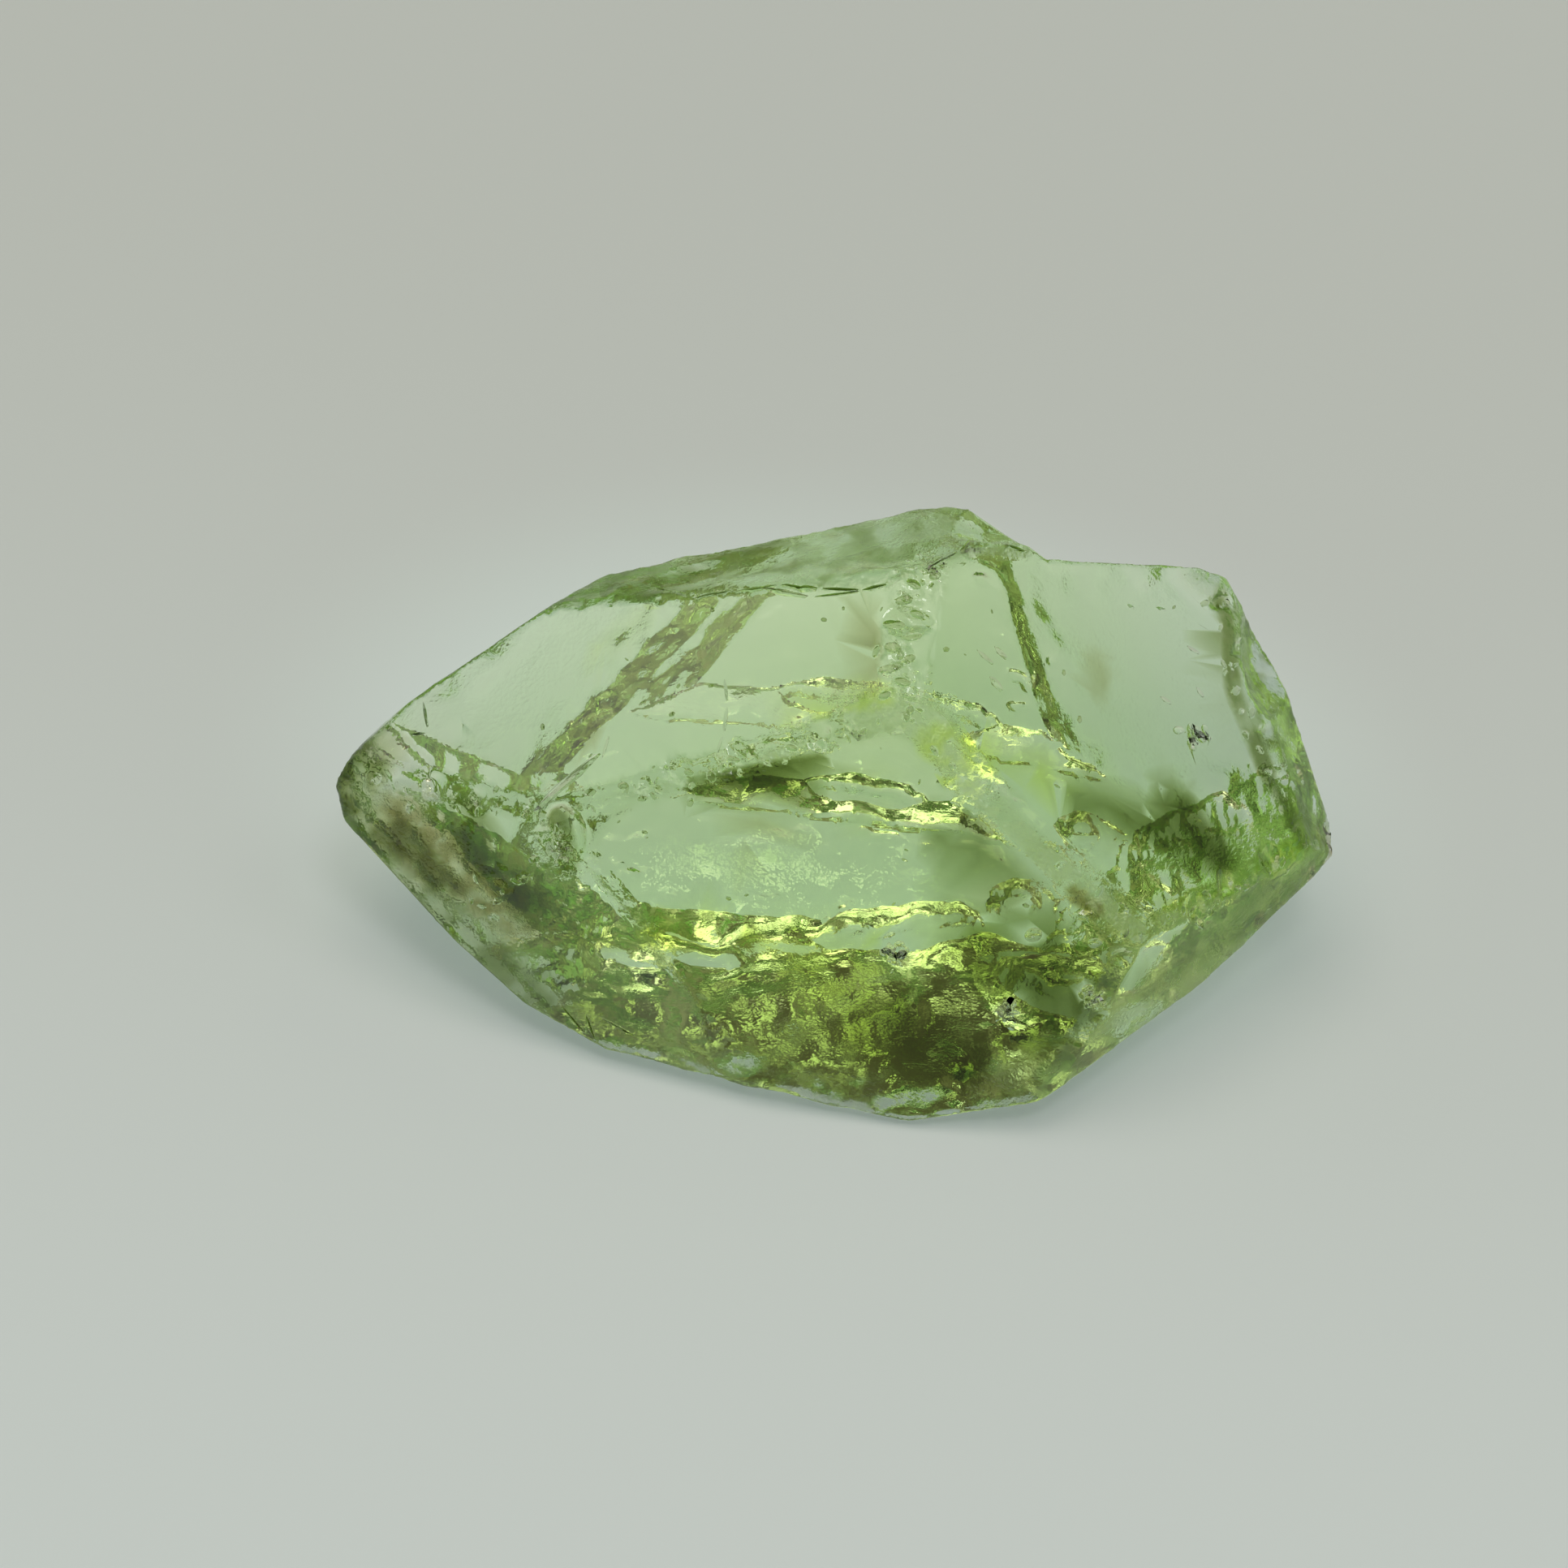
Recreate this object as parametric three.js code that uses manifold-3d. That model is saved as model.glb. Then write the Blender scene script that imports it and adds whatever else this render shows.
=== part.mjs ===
// A piece of pale green tourmaline rough, ground by hand into a preform: a
// few large flats that meet in worn, chipped ridges. It is one solid and it
// lies on its lower back flat. Millimetres, +Z up.
//
// The stone is first laid out as the viewer sees it: x across, y up, z towards
// the viewer, from a point near its middle. It is then tipped onto its resting
// flat, and its origin is put at the middle of its base.

import * as THREE from "three";
import { mergeVertices } from "three/addons/utils/BufferGeometryUtils.js";
import Module from "manifold-3d";

const wasm = await Module();
wasm.setup();

// Driving dimensions

const BLOCK = 40; // the cutting blocks, far larger than the stone
const REST_TILT = 137; // how far the resting flat turns away from the viewer, degrees
const REST_COMPASS = 265; // where its lower edge faces, degrees from +x
const SCOOP_DETAIL = 4; // subdivision of the balls that scoops are cut with
const RING_SHRINK = 0.72; // how much smaller each ripple of a scoop is than the one outside it
const RING_SINK = 0.05; // how much deeper each ripple lies
const NICK_SIZE = [0.3, 0.9]; // a nick's size, as a share of its band's width
const NICK_STRETCH = [1.1, 2.4]; // how much longer a nick is across its ridge than along it
const NICK_BITE = [0.5, 2]; // how deep it bites, as a share of its ridge's bite
const NICK_DEPTH = 0.5; // the deepest that a nick may be, as a share of its size
const NICK_FACE = 0.85; // how far a shard's faces are from its middle, as a share of its size
const NICK_GAP = 0.12; // the least way from one nick to the next
const NICK_SPREAD = [0.5, 3]; // what is added to it, as a share of the band's width

// Front flats. Each is a plane through a point, with the compass direction that
// it faces, in degrees from +x through +y, and its tilt away from the viewer.

const HUB = [0.85, 1.33, 2.4]; // the three main ridges meet here
const PIT = [-3.62, 0, 1.69]; // the chipped corner at the left
const KNEE = [3.94, -1.6, 1.62]; // the corner at the lower right

const FRONT = {
  left_window: { through: HUB, compass: 123.5, tilt: 27.6 },
  right_window: { through: HUB, compass: 29, tilt: 31.4 },
  belly: { through: HUB, compass: 259.7, tilt: 18.5 },
  left_cheek: { through: PIT, compass: 217.8, tilt: 29.6 },
  lower_left: { through: PIT, compass: 239.8, tilt: 29.7 },
  lower_right: { through: KNEE, compass: 319.3, tilt: 58.3 },
  brow: { through: [1.17, 3.15, 1.66], compass: 101.4, tilt: 66 },
  right_flank: { through: [5.05, 3.06, -0.35], compass: 21.3, tilt: 61.7 },
};

// Back flats. The first four lie across the view and let the light straight
// through; the stone lies on the last one.

const BACK = {
  back_left: { through: [-2.45, 0.4, -2.5], compass: 133.5, tilt: 161.8 },
  back_middle: { through: [0, 0.5, -2.5], compass: 90, tilt: 177.7 },
  back_right: { through: [1.98, 1.75, -2.45], compass: 22.9, tilt: 165 },
  back_low: { through: [0.43, 0.69, -2.49], compass: 278.6, tilt: 175.4 },
  back_top: { through: [0.5, 3.2, -2.2], compass: 82.9, tilt: 141.1 },
  heel_left: { through: [-3, -0.8, -1.9], compass: 221.6, tilt: 140.4 },
  heel_right: { through: [4.3, -0.4, -1.75], compass: 318, tilt: 146.1 },
  rest: { through: [1.06, -3.93, 0.4], compass: REST_COMPASS, tilt: REST_TILT },
};

// The outline, clockwise from the left tip. Each entry is a wall from one
// point to the next, the depth at which it shows, and its lean to the back.

const OUTLINE = [
  { from: [-6.56, 0.4], to: [-6.28, 0.8], depth: 0.4, lean: -11 },
  { from: [-6.31, 0.77], to: [-5.64, 1.4], depth: 0.4, lean: 6 },
  { from: [-5.64, 1.4], to: [-3.03, 3.19], depth: 0.4, lean: -6 },
  { from: [-3.03, 3.13], to: [0.32, 3.83], depth: -0.1, lean: -14 },
  { from: [0.32, 3.96], to: [1.6, 3.98], depth: -0.2, lean: -11 },
  { from: [1.65, 3.98], to: [5, 3.2], depth: 0, lean: -9 },
  { from: [5.13, 3.13], to: [5.96, 1.6], depth: -0.8, lean: 0 },
  { from: [5.96, 1.6], to: [6.33, 0.53], depth: -1, lean: 0 },
  { from: [6.28, 0.74], to: [6.62, -0.37], depth: -0.5, lean: -6 },
  { from: [6.62, -0.37], to: [6.54, -0.7], depth: -0.2, lean: 0 },
  { from: [6.57, -0.64], to: [6.06, -1.17], depth: -0.3, lean: 0 },
  { from: [6.06, -1.17], to: [4.79, -2.29], depth: -0.1, lean: -9 },
  { from: [4.79, -2.29], to: [2.55, -3.76], depth: 0.1, lean: -6 },
  { from: [2.55, -3.78], to: [1.28, -3.99], depth: 0.6, lean: -6 },
  { from: [-1.38, -3.49], to: [-3.09, -3.11], depth: 0.4, lean: -11 },
  { from: [-2.87, -3.19], to: [-4.04, -2.55], depth: 0.4, lean: -6 },
  { from: [-4.04, -2.55], to: [-5, -1.68], depth: 0.4, lean: 0 },
  { from: [-5, -1.68], to: [-6.44, -0.11], depth: 0.3, lean: 0 },
  { from: [-6.44, -0.11], to: [-6.56, 0.43], depth: 0.3, lean: 0 },
];

// Worn ridges: the two flats that meet, the flats that end the ridge, the
// width of the band ground along it, and how deep the chips in it bite.

const WORN = [
  { flats: ["left_window", "belly"], ends: ["right_window", "lower_left"], width: 0.36, bite: 0.05 },
  { flats: ["left_window", "left_cheek"], ends: ["lower_left", "wall_0"], width: 0.3, bite: 0.05 },
  { flats: ["left_window", "right_window"], ends: ["belly", "brow"], width: 0.55, bite: 0.08 },
  { flats: ["right_window", "belly"], ends: ["left_window", "lower_right"], width: 0.5, bite: 0.04 },
  { flats: ["right_window", "lower_right"], ends: ["belly", "wall_8"], width: 0.3, bite: 0.07 },
  { flats: ["belly", "lower_right"], ends: ["right_window", "wall_12"], width: 0.3, bite: 0.05 },
  { flats: ["left_cheek", "lower_left"], ends: ["left_window", "wall_17"], width: 0.12, bite: 0.03 },
  { flats: ["belly", "lower_left"], ends: ["left_window", "wall_14"], width: 0.1, bite: 0.02 },
  { flats: ["brow", "left_window"], ends: ["wall_2", "right_window"], width: 0.12, bite: 0.05 },
  { flats: ["brow", "right_window"], ends: ["left_window", "wall_5"], width: 0.14, bite: 0.06 },
  { flats: ["right_window", "right_flank"], ends: ["wall_5", "lower_right"], width: 0.25, bite: 0.06 },
  { flats: ["back_middle", "back_low"], ends: ["back_left", "back_right"], width: 0.34, bite: 0 },
  { flats: ["back_left", "heel_left"], ends: ["wall_2", "rest"], width: 0.25, bite: 0 },
  { flats: ["back_right", "heel_right"], ends: ["wall_8", "rest"], width: 0.25, bite: 0 },
  { flats: ["back_left", "back_low"], ends: ["heel_left", "back_middle"], width: 0.2, bite: 0 },
  { flats: ["back_low", "rest"], ends: ["heel_left", "heel_right"], width: 0.2, bite: 0 },
];

// Steps across the back, where the crystal split along its length: behind a
// steep wall that runs between two points, the stone is cut down to a tread.
// The tread is parallel to the flat that it lies in, unless it has a facing of
// its own.

const STEPS = [
  { flat: "back_left", from: [-2.45, 0.4], to: [-0.96, 2.1], drop: 0.28, wall: 54 },
  { flat: "back_left", from: [-3.3, 0.5], to: [-1.75, 2.1], drop: 0.48, wall: 50 },
  { flat: "back_right", from: [1.98, 1.75], to: [2.46, 0.15], drop: 0.22, wall: 50 },
  { flat: "back_middle", from: [1.7, 0.2], to: [-0.2, 0.45], drop: 0.36, wall: 52 },
];

// Stairs down the left heel: narrow treads that face back, one after another.

const STAIRS = { flat: "heel_left", first: [-4.6, -0.45], run: 0.34, count: 3, drop: 0.18, wall: 12, tilt: 172 };

// The ledge at the top right: the stone steps down past the hump.

const LEDGE = { corner: [2.74, 3.24], flank: 36, size: 6, towards: -4 };

// Scoops: shell-shaped hollows that a flake left, each a shallow bite of a
// large ball: where it bites, how far the ball's radius is, and how deep. A
// ball may be stretched along the stone, turned, and rippled by smaller rings.

const SCOOPS = [
  { at: [-3.55, -0.38, 1.5], facing: [-0.1, -0.05, 1], radius: 0.45, bite: 0.2, stretch: [0.8, 1.2] },
  { at: [-1.4, 3.2, 0.4], facing: [-0.2, 0.9, 0.42], radius: 1.8, bite: 0.12, stretch: [1.8, 0.7], turn: 8 },
  { at: [0.3, 3.45, 0.9], facing: [0, 0.8, 0.6], radius: 1.4, bite: 0.14, stretch: [1.4, 0.8], turn: -12 },
  { at: [1.9, 3.7, 0.5], facing: [0.3, 0.9, 0.4], radius: 1.4, bite: 0.12, stretch: [1.3, 0.8], turn: 20 },
  { at: [5.55, 1.9, -0.7], facing: [0.85, 0.4, 0.4], radius: 1.6, bite: 0.1, stretch: [0.7, 1.4] },
  { at: [6.15, 0.6, -0.4], facing: [0.9, 0.3, 0.4], radius: 1.2, bite: 0.1, stretch: [0.8, 1.3] },
  { at: [5.3, -1.75, 0.1], facing: [0.6, -0.6, 0.4], radius: 2.2, bite: 0.1, stretch: [1.4, 0.8], turn: 30 },
  { at: [0.45, 0.72, -2.45], facing: [0, -0.2, -1], radius: 0.7, bite: 0.16, stretch: [1.9, 0.6], turn: 8 },
  { at: [2.5, -0.8, -2.3], facing: [0.1, -0.3, -1], radius: 1.0, bite: 0.24, stretch: [1.15, 0.85], rings: 4 },
  { at: [3.1, -1.9, -1.4], facing: [0.1, -0.65, -0.75], radius: 1.1, bite: 0.2, stretch: [1.6, 0.7], turn: 25 },
  { at: [-3.3, -1.6, -1.2], facing: [-0.5, -0.6, -0.7], radius: 1.2, bite: 0.18, stretch: [1.8, 0.6], turn: -30 },
  { at: [-1.9, -1.55, -1.6], facing: [-0.1, -0.7, -0.75], radius: 1, bite: 0.14, stretch: [2.2, 0.6], turn: 10 },
  { at: [0.4, -1.2, -2], facing: [0.1, -0.55, -0.85], radius: 1.1, bite: 0.16, stretch: [2, 0.6], turn: -14 },
  { at: [-6.25, 0.35, 0.75], facing: [-0.7, 0.1, 0.7], radius: 1, bite: 0.14 },
];

// Numbers and directions

const rad = THREE.MathUtils.degToRad;
const vec = (p) => new THREE.Vector3(...p);

// A repeatable run of numbers from 0 to 1, so that each build is the same.
let seed = 7;
function chance() {
  seed = (seed * 16807) % 2147483647;
  return seed / 2147483647;
}

function between(low, high) {
  return low + (high - low) * chance();
}

// Planes

function flatPlane({ through, compass, tilt }) {
  const across = Math.sin(rad(tilt));
  const normal = new THREE.Vector3(
    across * Math.cos(rad(compass)),
    across * Math.sin(rad(compass)),
    Math.cos(rad(tilt)),
  );
  return new THREE.Plane().setFromNormalAndCoplanarPoint(normal, vec(through));
}

function wallPlane({ from, to, depth, lean }) {
  const outward = new THREE.Vector3(from[1] - to[1], to[0] - from[0], 0).normalize();
  outward.multiplyScalar(Math.cos(rad(lean))).z = Math.sin(rad(lean));
  return new THREE.Plane().setFromNormalAndCoplanarPoint(outward, vec([...from, depth]));
}

// The point where three planes meet.
function corner(a, b, c) {
  const rows = new THREE.Matrix3().set(...a.normal, ...b.normal, ...c.normal).invert();
  return new THREE.Vector3(-a.constant, -b.constant, -c.constant).applyMatrix3(rows);
}

// The plane that grinds a band of this width along the ridge of two flats.
function bandPlane(a, b, ridgePoint, width) {
  const outward = a.normal.clone().add(b.normal).normalize();
  const depth = (width / 2) * Math.tan(a.normal.angleTo(b.normal) / 2);
  const point = ridgePoint.clone().addScaledVector(outward, -depth);
  return new THREE.Plane().setFromNormalAndCoplanarPoint(outward, point);
}

// Solids

function solid(geometry) {
  const bare = geometry.clone();
  bare.deleteAttribute("normal");
  bare.deleteAttribute("uv");
  const merged = mergeVertices(bare, 1e-5);
  return new wasm.Manifold(
    new wasm.Mesh({
      numProp: 3,
      vertProperties: new Float32Array(merged.attributes.position.array),
      triVerts: new Uint32Array(merged.index.array),
    }),
  );
}

// A block whose face lies on the plane, and which fills what is outside it.
function blockBeyond(plane) {
  const turn = new THREE.Quaternion().setFromUnitVectors(new THREE.Vector3(0, 0, 1), plane.normal);
  const centre = plane.coplanarPoint(new THREE.Vector3()).addScaledVector(plane.normal, BLOCK / 2);
  const block = new THREE.BoxGeometry(BLOCK * 2, BLOCK * 2, BLOCK);
  return solid(block.applyQuaternion(turn).translate(...centre));
}

// A ball that takes a shell-shaped bite of the stone at a point.
function scoop(point, outward, radius, bite, stretch, turn) {
  const along = new THREE.Vector3(1, 0, 0).projectOnPlane(outward).normalize();
  const across = outward.clone().cross(along);
  const turned = new THREE.Matrix4().makeBasis(along, across, outward);
  const ball = new THREE.IcosahedronGeometry(radius, SCOOP_DETAIL).scale(...stretch, 1).rotateZ(rad(turn));
  const centre = point.clone().addScaledVector(outward, radius - bite);
  return solid(ball.applyMatrix4(turned).translate(...centre));
}

// A flat-sided shard, long in one direction, that nicks a ridge at a point.
function nick(point, outward, across, size, bite) {
  const shard = new THREE.IcosahedronGeometry(size, 0);
  shard.rotateX(between(0, Math.PI)).rotateY(between(0, Math.PI));
  shard.scale(between(...NICK_STRETCH), 1, 1);
  const along = outward.clone().cross(across).normalize();
  const turned = new THREE.Matrix4().makeBasis(across, along, outward);
  const centre = point.clone().addScaledVector(outward, size * NICK_FACE - Math.min(bite, size * NICK_DEPTH));
  return solid(shard.applyMatrix4(turned).translate(...centre));
}

// The stone

const planes = {};
for (const [name, flat] of Object.entries({ ...FRONT, ...BACK })) planes[name] = flatPlane(flat);
OUTLINE.forEach((wall, i) => (planes[`wall_${i}`] = wallPlane(wall)));

function groundBlock() {
  let stone = solid(new THREE.BoxGeometry(BLOCK / 2, BLOCK / 2, BLOCK / 2));
  for (const plane of Object.values(planes)) stone = stone.subtract(blockBeyond(plane));
  return stone;
}

// How far back a plane lies at a point of the view.
function depthOf(plane, [x, y]) {
  return (-plane.constant - plane.normal.x * x - plane.normal.y * y) / plane.normal.z;
}

// What a step takes away: all behind its tread, on the left of the line that
// its wall follows.
function stepCut({ flat, from, to, drop, wall, tread }) {
  const depth = depthOf(planes[flat], from) + drop;
  const facing = tread ? flatPlane({ ...tread, through: [0, 0, 0] }).normal : planes[flat].normal;
  const floor = new THREE.Plane().setFromNormalAndCoplanarPoint(facing, vec([...from, depth]));
  const outward = new THREE.Vector3(from[1] - to[1], to[0] - from[0], 0).normalize();
  outward.multiplyScalar(Math.cos(rad(wall))).z = -Math.sin(rad(wall));
  const steep = new THREE.Plane().setFromNormalAndCoplanarPoint(outward, vec([...from, depth]));
  return blockBeyond(floor).intersect(blockBeyond(steep));
}

// The stairs follow the level lines of their flat, down its slope.
function stairCuts({ flat, first, run, count, drop, wall, tilt }) {
  const compass = THREE.MathUtils.radToDeg(Math.atan2(planes[flat].normal.y, planes[flat].normal.x));
  const down = [Math.cos(rad(compass)), Math.sin(rad(compass))];
  const cuts = [];
  for (let i = 0; i < count; i++) {
    const from = [first[0] + down[0] * run * i, first[1] + down[1] * run * i];
    const to = [from[0] + down[1], from[1] - down[0]];
    cuts.push(stepCut({ flat, from, to, drop, wall, tread: { compass, tilt } }));
  }
  return cuts;
}

// A wedge that opens upwards from the ledge's inner corner.
function ledgeCut() {
  const { corner: apex, flank, size, towards } = LEDGE;
  const outline = new THREE.Shape();
  outline.lineTo(size, 0);
  outline.lineTo(size, size);
  outline.lineTo(-size * Math.cos(rad(flank)), size * Math.sin(rad(flank)));
  const wedge = new THREE.ExtrudeGeometry(outline, { depth: size * 2, bevelEnabled: false });
  wedge.translate(0, 0, -size).rotateX(rad(towards));
  return solid(wedge.translate(...apex, 0));
}

function wornRidges(stone) {
  let worn = stone;
  for (const { flats, ends, width, bite } of WORN) {
    const [a, b, first, last] = [...flats, ...ends].map((name) => planes[name]);
    const start = corner(a, b, first);
    const end = corner(a, b, last);
    const band = bandPlane(a, b, start, width);
    worn = worn.subtract(blockBeyond(band));
    if (bite === 0) continue;
    const along = end.clone().sub(start);
    const across = along.clone().cross(band.normal).normalize();
    for (let at = 0; at < 1; at += (width * between(...NICK_SPREAD) + NICK_GAP) / along.length()) {
      const spot = start.clone().addScaledVector(along, at).addScaledVector(across, width * between(-0.5, 0.5));
      const onBand = band.projectPoint(spot, new THREE.Vector3());
      const size = width * between(...NICK_SIZE);
      worn = worn.subtract(nick(onBand, band.normal, across, size, bite * between(...NICK_BITE)));
    }
  }
  return worn;
}

function scooped(stone) {
  let left = stone;
  for (const { at, facing, radius, bite, stretch = [1, 1], turn = 0, rings = 1 } of SCOOPS) {
    for (let ring = 0; ring < rings; ring++) {
      const size = radius * RING_SHRINK ** ring;
      const outward = vec(facing).normalize();
      left = left.subtract(scoop(vec(at), outward, size, bite + RING_SINK * ring, stretch, turn));
    }
  }
  return left;
}

function stepped(stone) {
  const cuts = [...STEPS.map(stepCut), ...stairCuts(STAIRS)];
  return cuts.reduce((left, cut) => left.subtract(cut), stone);
}

const carved = scooped(wornRidges(stepped(groundBlock())).subtract(ledgeCut()));

function geometryOf(shape) {
  const mesh = shape.getMesh();
  const geometry = new THREE.BufferGeometry();
  geometry.setAttribute("position", new THREE.BufferAttribute(new Float32Array(mesh.vertProperties), 3));
  geometry.setIndex(new THREE.BufferAttribute(new Uint32Array(mesh.triVerts), 1));
  geometry.computeVertexNormals();
  return geometry;
}

const tourmaline = new THREE.Mesh(
  geometryOf(carved),
  new THREE.MeshStandardMaterial({ color: 0xb2cd97, roughness: 0.12, metalness: 0, flatShading: true }),
);
tourmaline.name = "tourmaline";
tourmaline.rotation.z = rad(270 - REST_COMPASS);

const lying = new THREE.Group();
lying.rotation.x = rad(180 - REST_TILT);
lying.add(tourmaline);

const part = new THREE.Group();
part.add(lying);
part.updateMatrixWorld(true);

const box = new THREE.Box3().setFromObject(part, true);
const middle = box.getCenter(new THREE.Vector3());
lying.position.set(-middle.x, -middle.y, -box.min.z);

export default part;
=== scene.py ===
"""A piece of clear, pale green tourmaline, ground by hand to a few large flats and
lying on the largest of them. The flats are windows; the ridges between them are
worn, chipped and frosted.

The stone is worked in millimetres and brought back to metres when it is finished.
"""

import math
import random

import bpy
import numpy as np
from mathutils import Matrix, Vector, noise


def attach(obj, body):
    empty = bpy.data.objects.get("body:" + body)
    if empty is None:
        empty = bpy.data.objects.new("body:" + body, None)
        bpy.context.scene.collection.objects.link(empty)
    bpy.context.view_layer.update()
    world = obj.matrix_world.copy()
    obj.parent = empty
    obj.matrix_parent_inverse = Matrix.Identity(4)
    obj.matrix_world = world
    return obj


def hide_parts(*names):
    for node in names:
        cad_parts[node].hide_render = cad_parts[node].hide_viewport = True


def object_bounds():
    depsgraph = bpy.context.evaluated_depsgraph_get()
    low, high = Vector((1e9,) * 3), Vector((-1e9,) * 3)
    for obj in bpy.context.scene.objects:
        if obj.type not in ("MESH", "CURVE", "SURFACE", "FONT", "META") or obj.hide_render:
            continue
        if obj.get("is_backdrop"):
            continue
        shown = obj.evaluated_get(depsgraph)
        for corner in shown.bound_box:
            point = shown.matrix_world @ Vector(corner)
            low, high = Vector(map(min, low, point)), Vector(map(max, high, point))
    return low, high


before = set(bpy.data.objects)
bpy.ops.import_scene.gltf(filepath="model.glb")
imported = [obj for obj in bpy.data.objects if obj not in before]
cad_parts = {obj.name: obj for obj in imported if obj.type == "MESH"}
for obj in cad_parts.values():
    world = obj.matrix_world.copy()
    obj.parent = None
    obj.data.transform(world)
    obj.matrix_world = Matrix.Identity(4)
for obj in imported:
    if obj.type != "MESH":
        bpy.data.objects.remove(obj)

bl_info = {
    "name": "Tourmaline Preform",
    "version": (1, 0, 0),
    "blender": (4, 5, 0),
    "location": "View3D > Sidebar > Tourmaline",
    "description": "Finishes a ground piece of pale green tourmaline and lights it",
    "category": "Add Mesh",
}

NODE = "tourmaline"
MM = 0.001  # metres
TO_MM = 1 / MM

# The photograph: how steeply it looks down on the stone, how far it is turned,
# how many of its pixels make a millimetre, and where the stone lies in it.
VIEW_ELEVATION = math.radians(47)
VIEW_ROLL = math.radians(5)
PHOTO_PIXELS = 1932
PIXELS_PER_MM = 94
STONE_LEFT, STONE_RIGHT = 414, 1648
STONE_TOP, STONE_BOTTOM = 624, 1381
FAR = 40  # mm, well outside the stone


# The viewer's directions


def view_axes():
    """The photograph's right, its up, and the way back to the camera."""
    right = Vector((1, 0, 0))
    rise = Vector((0, math.sin(VIEW_ELEVATION), math.cos(VIEW_ELEVATION)))
    back = right.cross(rise)
    turned_right = right * math.cos(VIEW_ROLL) + rise * math.sin(VIEW_ROLL)
    turned_up = rise * math.cos(VIEW_ROLL) - right * math.sin(VIEW_ROLL)
    return turned_right, turned_up, back


def view_centre():
    """Where the middle of the stone's outline lies, to the right and up, in mm."""
    right, up, _ = view_axes()
    corners = [v.co * TO_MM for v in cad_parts[NODE].data.vertices]
    across = [right.dot(c) for c in corners]
    upward = [up.dot(c) for c in corners]
    return (min(across) + max(across)) / 2, (min(upward) + max(upward)) / 2


def seen_at(x, y):
    """How far to the right and up a pixel of the photograph lies, in mm."""
    middle_right, middle_up = view_centre()
    across = (x - (STONE_LEFT + STONE_RIGHT) / 2) / PIXELS_PER_MM
    upward = ((STONE_TOP + STONE_BOTTOM) / 2 - y) / PIXELS_PER_MM
    return middle_right + across, middle_up + upward


def touch(stone, x, y):
    """The point of the stone under a pixel, and its normal.

    A pixel just off the outline is moved inwards until it is on the stone.
    """
    right, up, back = view_axes()
    middle_x, middle_y = (STONE_LEFT + STONE_RIGHT) / 2, (STONE_TOP + STONE_BOTTOM) / 2
    for inwards in (0, 0.01, 0.02, 0.03, 0.05):
        across, upward = seen_at(x + (middle_x - x) * inwards, y + (middle_y - y) * inwards)
        hit, place, normal, _ = stone.ray_cast(right * across + up * upward + back * FAR, -back)
        if hit:
            return place, normal
    raise RuntimeError(f"pixel {x}, {y} isn't on the stone")


# Settings


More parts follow.
